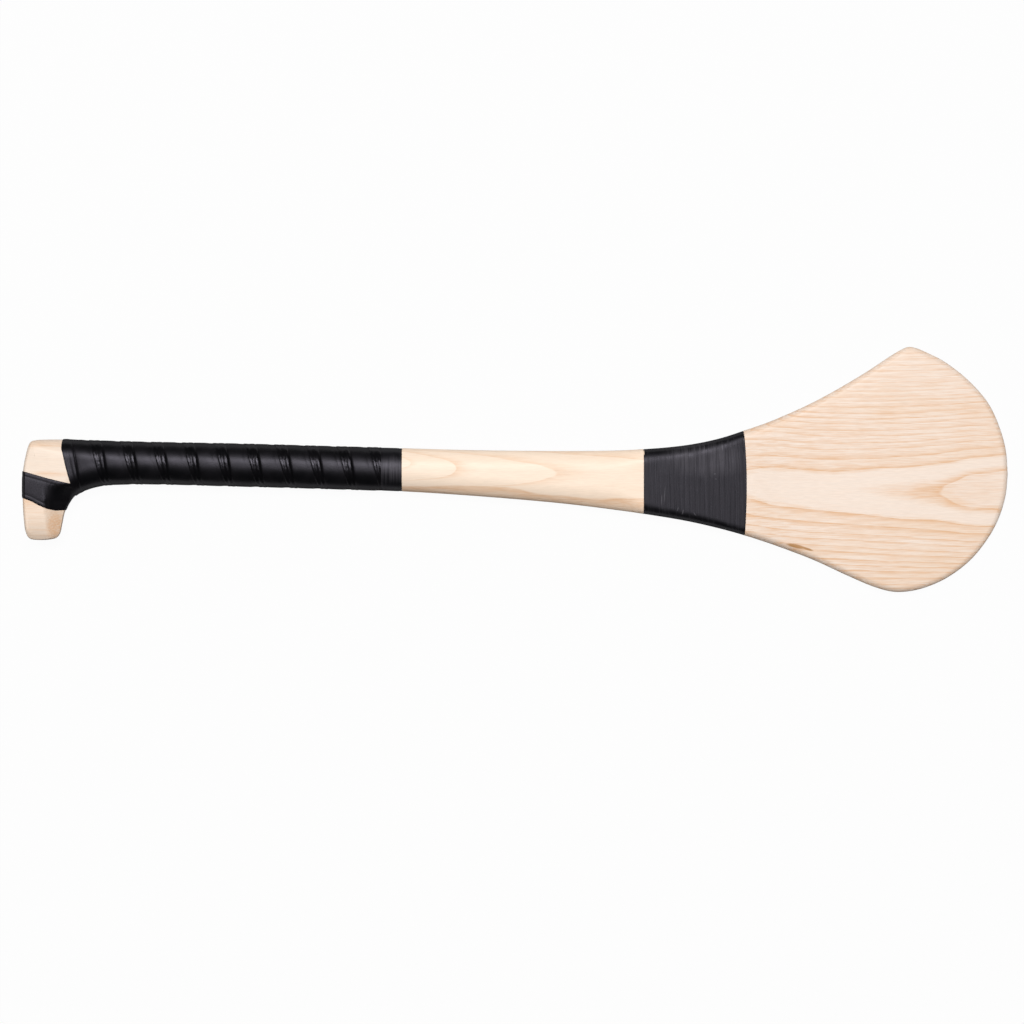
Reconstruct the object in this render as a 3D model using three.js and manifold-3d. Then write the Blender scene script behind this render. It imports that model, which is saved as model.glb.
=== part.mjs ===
// A hurley: a one-piece ash stick with a taped handle, a strap of tape over its heel and a bound neck.
// It is shaped in its own frame, X from the butt end to the toe, Y across the blade with the heel's knob
// towards minus Y, and Z through the thickness. At the end it is turned by less than a degree, so that it
// lies on a table at Z = 0 as a real one does. All lengths are in millimetres.
import * as THREE from 'three';
import { mergeVertices } from 'three/addons/utils/BufferGeometryUtils.js';
import Module from 'manifold-3d';

// The stick along its length
const stickLength = 864;
const basLength = 229.6;          // the blade, from the neck band to the toe
const bandLength = 88.6;          // the binding round the neck
const gripEnd = 332;              // where the taped handle ends, from the butt
const throatEnd = 92.7;           // where the handle's lower edge leaves the heel's curve
const heelLength = 34.8;          // the knob along the stick

// The stick across
const basWidth = 215.2;
const handleWidth = 37.2;
const neckWidth = 57.4;           // at the heel end of the band
const neckFlareWidth = 92.5;      // at the blade end of the band
const heelCrown = 1.8;            // the heel's top edge above the handle's
const knobDrop = 48.8;            // the knob below the handle's lower edge
const handleRise = 5.6;           // the handle's middle above the stick's axis, at the throat
const neckFall = 10.7;            // the neck's middle below that axis, at the band
const flareFall = 12;

// Through the thickness, over the tape where there is tape
const buttThickness = 26;
const handleThickness = 27.6;
const shaftThickness = 24.4;
const neckThickness = 22;
const flareThickness = 20.4;
const basThickness = 14;          // at the blade end of the shoulder, where its flat faces start
const toeThickness = 9;
const shoulderLength = 66;        // from the band to the start of the blade's flat faces
const shoulderDishShare = 1 / 3;  // how much of the shoulder's fall is left halfway along it

// How far the rounding of the edge reaches in from the outline
const buttRounding = 3.6;
const heelTopRounding = 15;
const knobRounding = 10.5;
const neckRounding = 10;
const basRounding = 6;
const toeRounding = 5;
const handleRoundShare = 0.94;    // of half the handle, so that it is an oval with a narrow flat
const shaftRoundShare = 0.62;     // of half the shaft

// The tapes
const clearance = 0.35;           // between the wood and a tape, and between tapes
const turnGap = 0.55;             // between one turn of a tape and the next
const gripTapeThickness = 0.85;
const gripRibThickness = 1.2;     // where a turn laps over the one before
const gripRibWidth = 8.4;
const gripPitch = 27;
const gripStart = 35.5;
const gripLead = 4.2;             // how far the first turn is cut back at the top edge
const gripLeastWidth = 1.4;       // the narrowest trimmed end that is kept
const rampLength = 15;            // over which the wood gives way to the tape at the throat
const finishTapeWidth = 18;
const finishTapeThickness = 1.35;
const bandTapeThickness = 0.8;
const bandTapeEdgeThickness = 0.5;
const bandTurns = 20;
const bandLeastWidth = 0.35;
const bandSink = 0.1;             // the band's face below the bare wood beside it
const strapThickness = 0.9;
const strapWidth = 23.5;
const strapRise = 11.6;           // the strap's upper edge above the handle's lower edge, at the butt

// Fineness
const knobStations = 15;
const throatStations = 10;
const handleStations = 8;
const shaftStations = 7;
const bandStations = 6;
const basStations = 8;
const toeStations = 20;
const edgeRows = 5;
const trimStops = 5;

// Places along the stick that follow from those sizes
const bandEnd = stickLength - basLength;
const bandStart = bandEnd - bandLength;
const flatStart = bandEnd + shoulderLength;
const handleBottom = handleRise - handleWidth / 2;
const heelTop = handleRise + handleWidth / 2 + heelCrown;
const gripBuild = clearance + gripRibThickness;
const bandBuild = clearance + bandTapeThickness + bandSink;

// The heel's outline: along the heel's length, then up from the handle's lower edge to the heel's top,
// or down from that edge to the knob's foot, then how far its rounding has grown from the butt's
const heelUpperShares = [
  [0, 0.092, 0], [0.011, 0.362, 0], [0.055, 0.634, 0.02], [0.132, 0.847, 0.05], [0.218, 0.955, 0.1],
  [0.345, 0.988, 0.25], [0.6, 1, 0.6], [1, 0.999, 1],
];
const heelLowerShares = [
  [0, -0.074, 0], [0.007, 0.285, 0], [0.043, 0.643, 0], [0.092, 0.869, 0.05], [0.181, 0.975, 0.1],
  [0.345, 1, 0.1], [0.698, 0.992, 0.15], [0.848, 0.961, 0.2], [0.931, 0.887, 0.32], [0.988, 0.717, 0.75],
  [1.052, 0.51, 1.2], [1.152, 0.357, 1.5], [1.302, 0.23, 1.72], [1.529, 0.125, 1.9], [1.908, 0.039, 1.98],
];
// The shaft: along from the grip to the band, then how far its middle has fallen and its width has grown
const shaftShares = [[0, 0.37, 0.03], [0.308, 0.55, 0.153], [0.652, 0.765, 0.431], [0.898, 0.94, 0.777]];
// The handle between the throat and the grip's end: along it, then how far its middle has fallen
const handleShares = [[0, 0], [0.44, 0.13], [0.75, 0.255]];
// The blade's outline: along the blade, then across it from the stick's axis
const basUpperShares = [
  [0.069, 0.1865], [0.252, 0.2726], [0.4355, 0.383], [0.558, 0.468], [0.5884, 0.4872], [0.619, 0.5],
  [0.6495, 0.495], [0.7, 0.472], [0.7566, 0.4405], [0.848, 0.3647], [0.9242, 0.264], [0.97, 0.1656],
  [0.993, 0.0753], [1, -0.019],
];
const basLowerShares = [
  [0.069, -0.295], [0.252, -0.368], [0.39, -0.4353], [0.4813, -0.4767], [0.55, -0.4977],
  [0.5958, -0.5], [0.6647, -0.488], [0.7566, -0.4484], [0.848, -0.3786], [0.9168, -0.2926],
  [0.9625, -0.2065], [0.9913, -0.1088], [1, -0.019],
];
// The strap's outline as laid out flat: along the heel's length, then down the strap's width from its
// upper edge at the butt. It runs past the wood at both ends and takes in the throat's underside.
const strapShares = [
  [-0.3, -0.13], [0.27, 0.106], [0.655, 0.272], [1.04, 0.413], [1.23, 0.47], [1.32, 0.15], [1.8, 0.15],
  [1.8, 1.9], [1.15, 1.55], [1.066, 1.465], [0.848, 1.477], [0.655, 1.413], [0.46, 1.285], [0.27, 1.132],
  [-0.3, 0.87],
];
// The stations fan out round the knob as far as these places, along the heel's length
const knobFanUpperShare = 0.6;
const knobFanLowerShare = 1.06;
// Where the blade's edge stations turn from even steps along the stick to even steps round the outline
const toeFanShare = 0.5;
// Where the wood steps up past a tape's end, in clearances
const stepShares = [0.9, 1.6];

// Outline nodes carry the rounding's reach as their third number
function heelNodes(shares, rise, rounding) {
  return shares.map(([along, up, growth]) => new THREE.Vector3(
    along * heelLength, handleBottom + up * rise, THREE.MathUtils.lerp(buttRounding, rounding, growth)));
}

function stickNodes(side) {
  const nodes = [];
  for (const [along, fall] of handleShares) {
    const width = handleWidth / 2;
    const middle = THREE.MathUtils.lerp(handleRise, -neckFall, fall);
    const x = THREE.MathUtils.lerp(throatEnd, gripEnd, along);
    nodes.push(new THREE.Vector3(x, middle + side * width, width * handleRoundShare));
  }
  for (const [along, fall, growth] of shaftShares) {
    const width = THREE.MathUtils.lerp(handleWidth, neckWidth, growth) / 2;
    const middle = THREE.MathUtils.lerp(handleRise, -neckFall, fall);
    const x = THREE.MathUtils.lerp(gripEnd, bandStart, along);
    const roundShare = THREE.MathUtils.lerp(handleRoundShare, shaftRoundShare, along);
    nodes.push(new THREE.Vector3(x, middle + side * width, width * roundShare));
  }
  nodes.push(new THREE.Vector3(bandStart, -neckFall + side * neckWidth / 2, neckRounding));
  nodes.push(new THREE.Vector3(bandEnd, -flareFall + side * neckFlareWidth / 2, basRounding));
  return nodes;
}

function basNodes(shares) {
  return shares.map(([along, across]) => new THREE.Vector3(
    bandEnd + along * basLength, across * basWidth, THREE.MathUtils.lerp(basRounding, toeRounding, along)));
}

const upperEdge = new THREE.CatmullRomCurve3([
  ...heelNodes(heelUpperShares, heelTop - handleBottom, heelTopRounding),
  ...stickNodes(1),
  ...basNodes(basUpperShares),
]);
const lowerEdge = new THREE.CatmullRomCurve3([
  ...heelNodes(heelLowerShares, -knobDrop, knobRounding),
  ...stickNodes(-1),
  ...basNodes(basLowerShares),
]);

// Where between 0 and 1 a test stops being true, by halving
function lastTrue(test) {
  let low = 0;
  let high = 1;
  for (let halving = 0; halving < 40; halving++) {
    const middle = (low + high) / 2;
    if (test(middle)) low = middle;
    else high = middle;
  }
  return low;
}

// The curve's own parameter at a place along the stick
const parameterAt = (edge, x) => lastTrue((parameter) => edge.getPoint(parameter).x < x);

// The thickness of the dressed stick, in straight runs between these places
const thicknessRuns = [
  [0, buttThickness], [heelLength, handleThickness], [gripEnd, handleThickness],
  [(gripEnd + bandStart) / 2, shaftThickness], [bandStart, neckThickness], [bandEnd, flareThickness],
  [bandEnd + shoulderLength / 2, THREE.MathUtils.lerp(basThickness, flareThickness, shoulderDishShare)],
  [flatStart, basThickness], [stickLength, toeThickness],
];
function thicknessAt(x) {
  const next = Math.max(1, thicknessRuns.findIndex(([place]) => place >= x));
  const [startX, startT] = thicknessRuns[next - 1];
  const [endX, endT] = thicknessRuns[next];
  return THREE.MathUtils.lerp(startT, endT, (x - startX) / (endX - startX));
}

// How deep the wood lies below the dressed stick's surface, to take the tapes
function recessAt(x) {
  if (x > bandStart - clearance && x < bandEnd + clearance) return bandBuild;
  if (x > gripEnd + clearance) return 0;
  return gripBuild * THREE.MathUtils.smoothstep(x, gripStart, gripStart + rampLength);
}

// One side of a section: from a point on the edge inwards to where the face is flat. The rows go in square
// to the outline on the heel and the blade, and square to the stick between them.
function edgeRow(edge, parameter, side, angle) {
  const { x, y, z: reach } = edge.getPoint(parameter);
  const straight = x >= throatEnd && x < bandEnd + 2 * clearance;
  const tangent = straight ? new THREE.Vector3(1, 0, 0) : edge.getTangent(parameter).setZ(0).normalize();
  const inset = reach * (1 - Math.cos(angle));
  const rowX = x + side * tangent.y * inset;
  const rowY = y - side * tangent.x * inset;
  const thickness = thicknessAt(THREE.MathUtils.clamp(rowX, 0, stickLength));
  return new THREE.Vector3(rowX, rowY, thickness / 2 * Math.sin(angle));
}

// A ring runs from the upper edge over the front face to the lower edge and back behind
const ringPlaces = 4 * edgeRows + 4;
function ring([upper, lower]) {
  const angles = Array.from({ length: edgeRows + 1 }, (_, row) => row / edgeRows * Math.PI / 2);
  const down = angles.map((angle) => edgeRow(upperEdge, upper, 1, angle));
  const up = angles.map((angle) => edgeRow(lowerEdge, lower, -1, angle)).reverse();
  const middle = down.at(-1).clone().lerp(up[0], 0.5);
  const front = [...down, middle, ...up];
  const back = front.slice(1, -1).reverse().map((point) => point.clone().setZ(-point.z));
  return [...front, ...back];
}

// A station pairs a place on the upper edge with one on the lower, each as the curve's own parameter
function acrossAt(upperX, lowerX = upperX) {
  return [parameterAt(upperEdge, upperX), parameterAt(lowerEdge, lowerX)];
}
function evenStations(count, from, to) {
  return Array.from({ length: count }, (_, step) => acrossAt(THREE.MathUtils.lerp(from, to, step / count)));
}
// Stations in even steps round both outlines, from one station to another
function fanStations(count, from, to, first = 0) {
  const runs = [upperEdge, lowerEdge].map((edge, side) => [from[side], to[side]].map((parameter) =>
    lastTrue((share) => edge.getUtoTmapping(share) < parameter)));
  return Array.from({ length: count }, (_, step) => [upperEdge, lowerEdge].map((edge, side) =>
    edge.getUtoTmapping(THREE.MathUtils.lerp(...runs[side], (step + first) / count))));
}
// The wood steps up or down just past a tape's end
const stepAfter = (x) => stepShares.map((share) => acrossAt(x + share * clearance));
const stepBefore = (x) => stepShares.map((share) => acrossAt(x - share * clearance)).reverse();

const knobFanEnd = acrossAt(knobFanUpperShare * heelLength, knobFanLowerShare * heelLength);
const toeFanStart = THREE.MathUtils.lerp(bandEnd, stickLength, toeFanShare);
const stations = [
  ...fanStations(knobStations, [0, 0], knobFanEnd, 0.5),
  ...fanStations(throatStations, knobFanEnd, acrossAt(throatEnd)),
  ...evenStations(handleStations, throatEnd, gripEnd),
  ...stepAfter(gripEnd),
  ...evenStations(shaftStations, gripEnd, bandStart).slice(1),
  ...stepBefore(bandStart),
  ...evenStations(bandStations, bandStart, bandEnd),
  ...stepAfter(bandEnd),
  ...evenStations(basStations, bandEnd, toeFanStart).slice(1),
  ...fanStations(toeStations, acrossAt(toeFanStart), [1, 1], 0.5),
];
const rings = stations.map(ring);

// The dressed stick's surface as one closed mesh, each end zipped shut across its last ring
function stickIndex() {
  const index = [];
  const quad = (a, b, c, d) => index.push(a, b, c, a, c, d);
  for (let station = 0; station < rings.length - 1; station++) {
    for (let place = 0; place < ringPlaces; place++) {
      const here = station * ringPlaces;
      const there = here + ringPlaces;
      const next = (place + 1) % ringPlaces;
      quad(here + place, here + next, there + next, there + place);
    }
  }
  // Each cap joins the rows above to the rows below, and its innermost three faces meet on the middle line
  const middle = ringPlaces / 4;
  for (const [start, atToe] of [[0, false], [(rings.length - 1) * ringPlaces, true]]) {
    for (const facing of [1, -1]) {
      const turned = atToe === facing > 0;
      const face = (...places) => {
        const corners = places.map((place) => start + (facing * place + ringPlaces) % ringPlaces);
        index.push(...(turned ? corners.reverse() : corners));
      };
      for (let place = 0; place < middle - 2; place++) {
        const below = 2 * middle - place;
        face(place, below, below - 1);
        face(place, below - 1, place + 1);
      }
      face(middle - 2, middle + 2, middle);
      face(middle + 2, middle + 1, middle);
      face(middle - 2, middle, middle - 1);
    }
  }
  return index;
}
function meshOf(points, index) {
  const geometry = new THREE.BufferGeometry();
  const coordinates = points.flatMap((point) => point.toArray());
  geometry.setAttribute('position', new THREE.Float32BufferAttribute(coordinates, 3));
  geometry.setIndex(index);
  return geometry;
}
const surface = meshOf(rings.flat(), stickIndex());
surface.computeVertexNormals();
const normals = rings.map((points, station) => points.map((_, place) =>
  new THREE.Vector3().fromBufferAttribute(surface.attributes.normal, station * ringPlaces + place)));

// The stick's surface, raised by a height that may change along the stick
function raisedStick(heightAt) {
  const raised = surface.clone();
  raised.deleteAttribute('normal');
  rings.forEach((points, station) => points.forEach((point, place) => {
    const moved = point.clone().addScaledVector(normals[station][place], heightAt(point.x));
    raised.attributes.position.setXYZ(station * ringPlaces + place, ...moved.toArray());
  }));
  return raised;
}

// A point a given height above the wood, on the line of facets that runs through one place of the rings
function aboveWood(place, x, height) {
  const line = place % ringPlaces;
  let station = rings.findIndex((points) => points[line].x > x);
  if (station < 1) station = 1;
  const from = rings[station - 1][line];
  const to = rings[station][line];
  const share = (x - from.x) / (to.x - from.x);
  const normal = normals[station - 1][line].clone().lerp(normals[station][line], share).normalize();
  const level = height - recessAt(THREE.MathUtils.clamp(x, gripStart, bandEnd));
  return from.clone().lerp(to, share).addScaledVector(normal, level);
}

// A closed mesh through a row of sections with the same number of points; loop joins last to first
function skinned(sections, loop = false) {
  const sides = sections[0].length;
  const index = [];
  const spans = loop ? sections.length : sections.length - 1;
  for (let step = 0; step < spans; step++) {
    for (let side = 0; side < sides; side++) {
      const next = (side + 1) % sides;
      const here = step * sides;
      const there = (step + 1) % sections.length * sides;
      index.push(here + side, there + side, there + next, here + side, there + next, here + next);
    }
  }
  if (!loop) {
    for (let side = 1; side < sides - 1; side++) {
      index.push(0, side, side + 1);
      const end = (sections.length - 1) * sides;
      index.push(end, end + side + 1, end + side);
    }
  }
  return meshOf(sections.flat(), index);
}

// How far round the stick each place of the rings lies, as a share of one turn
function turnShares(x) {
  const around = Array.from({ length: ringPlaces + 1 }, (_, place) => aboveWood(place, x, 0));
  const lengths = around.slice(1).map((point, place) => point.distanceTo(around[place]));
  const total = lengths.reduce((sum, length) => sum + length, 0);
  const shares = [0];
  lengths.forEach((length) => shares.push(shares.at(-1) + length / total));
  return shares;
}

// Where a winding's turn that starts at its lead stands once it has reached a place, counted round and round
function helixAt({ from, to, lead, pitch }, place) {
  const shares = turnShares((from + to) / 2);
  return from - lead + pitch * (Math.floor(place / ringPlaces) + shares[(place + ringPlaces) % ringPlaces]);
}

// A tape wound along the stick in one unbroken strip, trimmed square at both ends of its run.
// profile maps a strip's left and right edge to its outline points, each a place along and a height.
function windTape(winding, name, profile) {
  const { from, to, pitch, firstPlace, leastWidth } = winding;
  const sections = [];
  for (let place = firstPlace; ; place++) {
    const helix = helixAt(winding, place);
    const left = Math.max(from, helix);
    const right = Math.min(to, helix + pitch - turnGap);
    if (right - left > leastWidth) {
      sections.push(profile(left, right).map(([x, height]) => aboveWood(place + ringPlaces, x, height)));
    } else if (sections.length) break;
  }
  // Each section against those one turn before it
  const gaps = sections.slice(ringPlaces).map((section, step) => {
    const near = sections.slice(Math.max(0, step - 2), step + 3).flat();
    return Math.min(...section.flatMap((mine) => near.map((other) => mine.distanceTo(other))));
  });
  const turns = (sections.length / ringPlaces).toFixed(1);
  console.log(`${name}: ${turns} turns, least gap to itself ${Math.min(...gaps).toFixed(2)} mm`);
  return skinned(sections);
}

const finishStart = gripEnd - finishTapeWidth;
const gripWinding = {
  from: gripStart, to: finishStart - clearance, lead: gripLead, pitch: gripPitch,
  firstPlace: -ringPlaces / 4, leastWidth: gripLeastWidth,
};
const gripTape = windTape(gripWinding, 'grip tape', (left, right) => {
  const rib = Math.min(left + gripRibWidth, (left + right) / 2);
  const plain = Math.min(rib + gripRibThickness, right);
  return [
    [left, clearance], [left, clearance + gripRibThickness], [rib, clearance + gripRibThickness],
    [plain, clearance + gripTapeThickness], [right, clearance + gripTapeThickness], [right, clearance],
    [plain, clearance],
  ];
});

const bandPitch = bandLength / bandTurns;
const bandWinding = {
  from: bandStart, to: bandEnd, lead: bandPitch, pitch: bandPitch,
  firstPlace: 0, leastWidth: bandLeastWidth,
};
const bandTape = windTape(bandWinding, 'neck band', (left, right) => [
  [left, clearance], [left, clearance + bandTapeThickness],
  [right, clearance + bandTapeEdgeThickness], [right, clearance],
]);

const finishTape = skinned(Array.from({ length: ringPlaces }, (_, place) => [
  aboveWood(place, finishStart, clearance),
  aboveWood(place, finishStart, clearance + finishTapeThickness),
  aboveWood(place, gripEnd, clearance + finishTapeThickness),
  aboveWood(place, gripEnd, clearance),
]), true);

// The strap: a skin over the heel, kept where its pattern meets it and short of the first turn
const wasm = await Module();
wasm.setup();
function solid(geometry) {
  const bare = geometry.clone();
  bare.deleteAttribute('normal');
  bare.deleteAttribute('uv');
  const merged = mergeVertices(bare);
  return new wasm.Manifold(new wasm.Mesh({
    numProp: 3,
    vertProperties: new Float32Array(merged.attributes.position.array),
    triVerts: new Uint32Array(merged.index.array),
  }));
}
function geometryOf(manifold) {
  const { vertProperties, triVerts } = manifold.getMesh();
  const geometry = new THREE.BufferGeometry();
  geometry.setAttribute('position', new THREE.BufferAttribute(vertProperties, 3));
  geometry.setIndex(new THREE.BufferAttribute(triVerts, 1));
  return geometry;
}

const strapPattern = new THREE.Shape(strapShares.map(([along, down]) =>
  new THREE.Vector2(along * heelLength, handleBottom + strapRise - down * strapWidth)));
const strapSpan = { depth: 2 * handleThickness, bevelEnabled: false };
const strapPrism = new THREE.ExtrudeGeometry(strapPattern, strapSpan);
strapPrism.translate(0, 0, -handleThickness);
const strapSkin = solid(raisedStick((x) => clearance + strapThickness - recessAt(x)))
  .subtract(solid(raisedStick((x) => clearance - recessAt(x))));
const beyondFirstTurn = solid(skinned(Array.from({ length: ringPlaces + 1 }, (_, step) => {
  const place = gripWinding.firstPlace - 1 + step + ringPlaces;
  const left = Math.max(gripStart, helixAt(gripWinding, place - ringPlaces)) - clearance;
  const right = gripStart + 2 * gripPitch;
  const stops = Array.from({ length: trimStops + 1 }, (_, stop) =>
    THREE.MathUtils.lerp(left, right, stop / trimStops));
  const over = stops.map((x) => aboveWood(place, x, 3 * gripBuild));
  const under = stops.map((x) => aboveWood(place, x, -gripBuild)).reverse();
  return [...over, ...under];
})));
const heelStrap = geometryOf(strapSkin.intersect(solid(strapPrism)).subtract(beyondFirstTurn));

const wood = raisedStick((x) => -recessAt(x));

// Finishes
const ash = new THREE.MeshStandardMaterial({ color: 0xf6dfc6, roughness: 0.5, metalness: 0 });
const cushionTape = new THREE.MeshStandardMaterial({ color: 0x17171a, roughness: 0.42, metalness: 0 });
const vinylTape = new THREE.MeshStandardMaterial({ color: 0x29282c, roughness: 0.5, metalness: 0 });

function piece(name, geometry, material) {
  const mesh = new THREE.Mesh(geometry, material);
  mesh.name = name;
  return mesh;
}
const pieces = [
  piece('ash_body', wood, ash),
  piece('heel_strap', heelStrap, cushionTape),
  piece('grip_tape', gripTape, cushionTape),
  piece('finishing_tape', finishTape, vinylTape),
  piece('neck_band', bandTape, vinylTape),
];
const stick = new THREE.Group();
stick.add(...pieces);

// Laid on its back face the stick touches the table at two places, one on each side of its balance point.
// The slope between them is found by trying each pair in turn, and the group is turned by it.
function balancePoint(geometry) {
  const { position } = geometry.attributes;
  const corner = (i) => new THREE.Vector3().fromBufferAttribute(position, geometry.index.getX(i));
  let volume = 0;
  let moment = 0;
  for (let i = 0; i < geometry.index.count; i += 3) {
    const [a, b, c] = [corner(i), corner(i + 1), corner(i + 2)];
    const share = a.dot(b.clone().cross(c));
    volume += share;
    moment += share * (a.x + b.x + c.x) / 4;
  }
  return moment / volume;
}
function restSlope() {
  const balance = balancePoint(wood);
  const points = pieces.flatMap(({ geometry: { attributes: { position } } }) =>
    Array.from({ length: position.count }, (_, i) => new THREE.Vector3().fromBufferAttribute(position, i)));
  let slope = 0;
  for (let pass = 0; pass < 20; pass++) {
    const depth = (point) => point.z - slope * point.x;
    const lowest = (side) => points.filter(({ x }) => side * (x - balance) > 0)
      .reduce((low, point) => (depth(point) < depth(low) ? point : low));
    const near = lowest(-1);
    const far = lowest(1);
    slope = (far.z - near.z) / (far.x - near.x);
  }
  return slope;
}
const lean = Math.atan(restSlope());
stick.rotation.y = lean;
console.log(`the stick leans ${THREE.MathUtils.radToDeg(lean).toFixed(3)} degrees to rest`);

const hurley = new THREE.Group();
hurley.add(stick);
hurley.updateMatrixWorld(true);
const box = new THREE.Box3().setFromObject(hurley, true);
const centre = box.getCenter(new THREE.Vector3());
stick.position.set(-centre.x, -centre.y, -box.min.z);

export default hurley;
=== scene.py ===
# A hurley in ash, with a taped handle, a strap of the same tape over its heel and a bound neck.
# Shapes are worked out in millimetres in the stick's own frame: X from the butt end to the toe, Y across the
# blade, Z through the thickness. At the end each piece is laid down as the solids are, in metres.
import math

import bmesh
import bpy
import numpy as np
from mathutils import Matrix


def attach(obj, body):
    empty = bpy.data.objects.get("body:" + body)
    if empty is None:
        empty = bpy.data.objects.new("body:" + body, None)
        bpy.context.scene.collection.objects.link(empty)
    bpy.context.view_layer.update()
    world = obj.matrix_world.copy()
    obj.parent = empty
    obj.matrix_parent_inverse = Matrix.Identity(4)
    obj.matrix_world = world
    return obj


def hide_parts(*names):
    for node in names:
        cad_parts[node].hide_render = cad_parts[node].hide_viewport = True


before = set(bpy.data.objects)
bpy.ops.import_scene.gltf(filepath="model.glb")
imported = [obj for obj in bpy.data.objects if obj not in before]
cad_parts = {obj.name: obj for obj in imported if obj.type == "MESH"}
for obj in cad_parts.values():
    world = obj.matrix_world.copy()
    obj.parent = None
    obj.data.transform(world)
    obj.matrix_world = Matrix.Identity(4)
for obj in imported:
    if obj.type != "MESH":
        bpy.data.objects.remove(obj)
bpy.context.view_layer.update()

# The photograph looks straight down, from well above with a long lens
viewpoint = {"place": (-0.00295, -0.0374, 2.6), "lens": 103.7, "sensor": 36.0}
cameraData = bpy.data.cameras.new("camera")
cameraData.lens = viewpoint["lens"]
cameraData.sensor_width = viewpoint["sensor"]
cameraData.clip_start = 0.01
camera = bpy.data.objects.new("camera", cameraData)
camera.location = viewpoint["place"]
bpy.context.scene.collection.objects.link(camera)
bpy.context.scene.camera = camera
bpy.context.scene.view_settings.view_transform = "Standard"
print("camera: looking down")

# How the stick lies: leaned about Y onto its back face, then moved to the middle of the floor
laid = {"lean": 0.0124813, "offset": (-431.2121, -0.0081, 18.0879)}
layDown = (Matrix.Scale(0.001, 4) @ Matrix.Translation(laid["offset"])
           @ Matrix.Rotation(laid["lean"], 4, "Y"))

stickLength = 864
wholeStick = (0, stickLength)
bandStart, bandEnd = 543.5, 632.7   # the two ends of the neck's binding
# Both outlines from the butt to the toe: along, across, and how far the edge's rounding reaches in
outline = {
    "upper": [
        (0.5, -9.4, 3.6), (1.1, 1.1, 3.6), (3, 11.7, 3.8), (5.2, 20, 4.2), (7.6, 24.2, 4.7), (12, 25.5, 6.5),
        (20.9, 26, 10.4), (34.8, 26, 15), (92.7, 24.2, 17.5), (198, 22.1, 17.5), (272.2, 20, 17.5),
        (332, 18.5, 17.8), (397.9, 16.8, 17), (471.4, 16.1, 16.8), (524, 16.7, 17.3), (545.8, 18, 13),
        (566.1, 19.6, 12.5), (587.1, 22.3, 12), (608.2, 26.7, 11), (634.4, 34.3, 8.5), (650.2, 40.1, 5.9),
        (692.3, 58.7, 5.7), (734.4, 82.4, 5.6), (762.5, 100.7, 5.4), (769.5, 104.8, 5.4),
        (776.5, 107.6, 5.4), (783.5, 106.5, 5.4), (795.1, 101.6, 5.3), (808.1, 94.8, 5.2),
        (829.1, 78.5, 5.2), (847.2, 57.6, 5.1), (857.2, 35.8, 5), (862.4, 16.2, 5), (864, -4.1, 5),
    ],
    "lower": [
        (0.5, -9.4, 3.6), (0.5, -26.9, 3.6), (1.5, -44.4, 3.6), (3.2, -55.4, 3.9), (6.3, -60.6, 4.3),
        (12, -61.8, 4.3), (24.3, -61.4, 4.6), (29.5, -59.9, 5), (32.4, -56.3, 5.8), (34.4, -48, 8.8),
        (36.6, -37.9, 11.9), (40.1, -30.4, 13.9), (45.3, -24.2, 15.5), (53.2, -19.1, 16.7),
        (66.4, -14.9, 17.3), (92.7, -13, 17.5), (198, -15.1, 17.5), (272.2, -17.2, 17.5),
        (332, -19.3, 17.8), (397.9, -23.5, 17), (471.4, -29.8, 16.8), (524, -36.2, 17.3),
        (545.8, -39.4, 10), (587.1, -46.5, 8), (634.4, -58.3, 6), (650.2, -63.5, 5.9), (692.3, -79.2, 5.7),
        (723.9, -93.7, 5.6), (744.9, -102.6, 5.5), (760.7, -107.1, 5.4), (771.2, -107.6, 5.4),
        (787, -105, 5.3), (808.1, -96.5, 5.2), (829.1, -81.5, 5.2), (844.9, -63, 5.1), (855.4, -44.4, 5),
        (862, -23.4, 5), (864, -4.1, 5),
    ],
    "thickness": [(0, 26), (34.8, 27.6), (332, 27.6), (438.9, 24.4), (545.8, 22), (634.4, 20.4),
                  (667.4, 16.13), (700.4, 14), (864, 9)],
    "eased": (-7.5, -2.5, 2.5, 7.5),   # the corners of that are averaged over this much
    "squarer": [(524, 1), (545, 0.8), (632, 0.8), (650, 1)],   # under the binding the edges are less round
    # where stations turn from fanned to square and back: the knob's edges, the throat, the binding, the toe
    "knobFan": (20.9, 36.9), "throatEnd": 92.7, "pastBand": 0.7, "toeFan": 749.2,
    # how many stations there are, on the square stretch as first, last and count: pairs mark the tapes' ends
    "buttStations": 46, "throatStations": 34, "toeStations": 80,
    "squareStations": [(92.7, 331.8, 60), (332, 332.4, 2), (336, 540, 55), (542.9, 543.3, 2),
                       (bandStart, bandEnd, 24), (632.9, 633.4, 2), (636, 749.2, 40)],
    "edgeRows": 12, "middleRows": 8,
}
# The knob is pared with a plane: a long facet down its inner side and a bevel at its foot
knob = {"facetStart": 20.5, "bevelStart": -52.5, "bevelSlope": 0.75,
        # its inner side, as places across and along, where the facet runs out
        "innerSide": [(-61.4, 24.3), (-59.9, 29.5), (-56.3, 32.4), (-48, 34.4), (-37.9, 36.6), (-30.4, 40.1)],
        "leastWidth": 6, "leastHeight": 3.2, "level": 13.6,
        "above": -14, "below": -28, "fadeStart": 38, "fadeEnd": 50}   # where the paring starts and dies out
neckBow = {"reach": 24, "middle": -12, "half": 46.3, "bulge": 0.7, "upperBack": 2.6, "lowerBack": 1.6}
# The wood lies this far below the dressed stick's surface where tape covers it
recess = {"gripDepth": 1.55, "gripStart": 35.5, "ramp": 15, "gripEnd": 331.85,
          "bandDepth": 1.25, "step": 0.12}


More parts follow.
